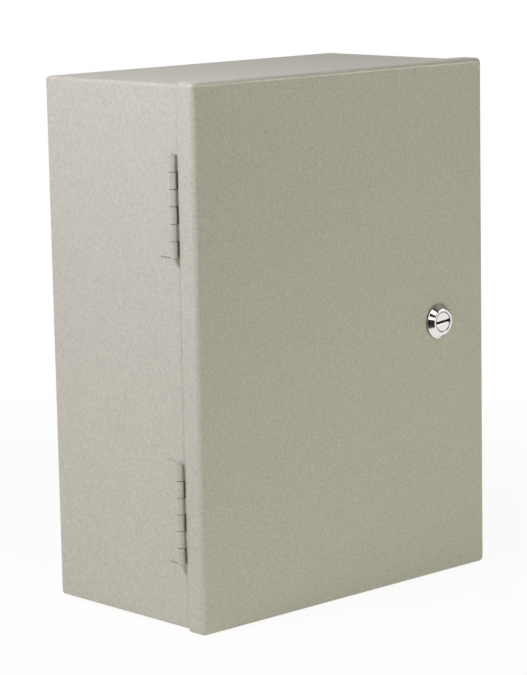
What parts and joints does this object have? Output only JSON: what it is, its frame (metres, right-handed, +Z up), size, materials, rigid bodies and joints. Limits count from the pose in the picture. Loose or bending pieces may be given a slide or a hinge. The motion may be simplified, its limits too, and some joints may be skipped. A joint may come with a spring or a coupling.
{
  "type": "wall-mounted utility cabinet",
  "caption": "Folded sheet-steel utility cabinet for a wall or post, with a hinged pan door, quarter-turn latch, gasket and inner mounting panel.",
  "frame": {"origin": "middle of the wall-hole pattern on the back's outer face", "axes": "+X to the right seen from the front, +Y into the wall, +Z up; the door faces -Y"},
  "size_m": [0.3133, 0.175, 0.41],
  "materials": {
    "cabinet_paint": "semi-gloss",
    "panel_paint": "semi-gloss",
    "latch_chrome": "polished",
    "zinc_plate": "zinc plated",
    "hinge_steel": "painted ends",
    "gasket_foam": "foamed",
    "seal_rubber": "matt"
  },
  "bodies": {
    "cabinet": {"body_shell": "cabinet_paint", "upper_hinge_body_leaf": "cabinet_paint", "lower_hinge_body_leaf": "cabinet_paint", "upper_hinge_pin": "hinge_steel", "lower_hinge_pin": "hinge_steel", "mounting_panel": "panel_paint", "panel_studs": "zinc_plate", "panel_nuts": "zinc_plate", "body_earth_stud": "zinc_plate", "body_earth_washer": "zinc_plate", "body_earth_nut": "zinc_plate"},
    "door": {"door_pan": "cabinet_paint", "door_gasket": "gasket_foam", "upper_hinge_door_leaf": "cabinet_paint", "lower_hinge_door_leaf": "cabinet_paint", "latch_housing": "latch_chrome", "latch_seal": "seal_rubber", "latch_nut": "zinc_plate", "door_bond_stud": "zinc_plate", "door_bond_washer": "zinc_plate", "door_bond_nut": "zinc_plate"},
    "latch": {"latch_core": "latch_chrome", "latch_ring": "seal_rubber", "latch_cam": "zinc_plate", "cam_washer": "zinc_plate", "cam_screw": "zinc_plate"}
  },
  "joints": [
    {"name": "door_hinge", "type": "hinge", "parent": "cabinet", "child": "door", "pos_m": [-0.15594, -0.1487, 0], "axis": [0, 0, -1], "range_deg": [0, 180]},
    {"name": "latch_turn", "type": "hinge", "parent": "door", "child": "latch", "pos_m": [0.1016, -0.1497, 0], "axis": [0, -1, 0], "range_deg": [0, 90]}
  ]
}
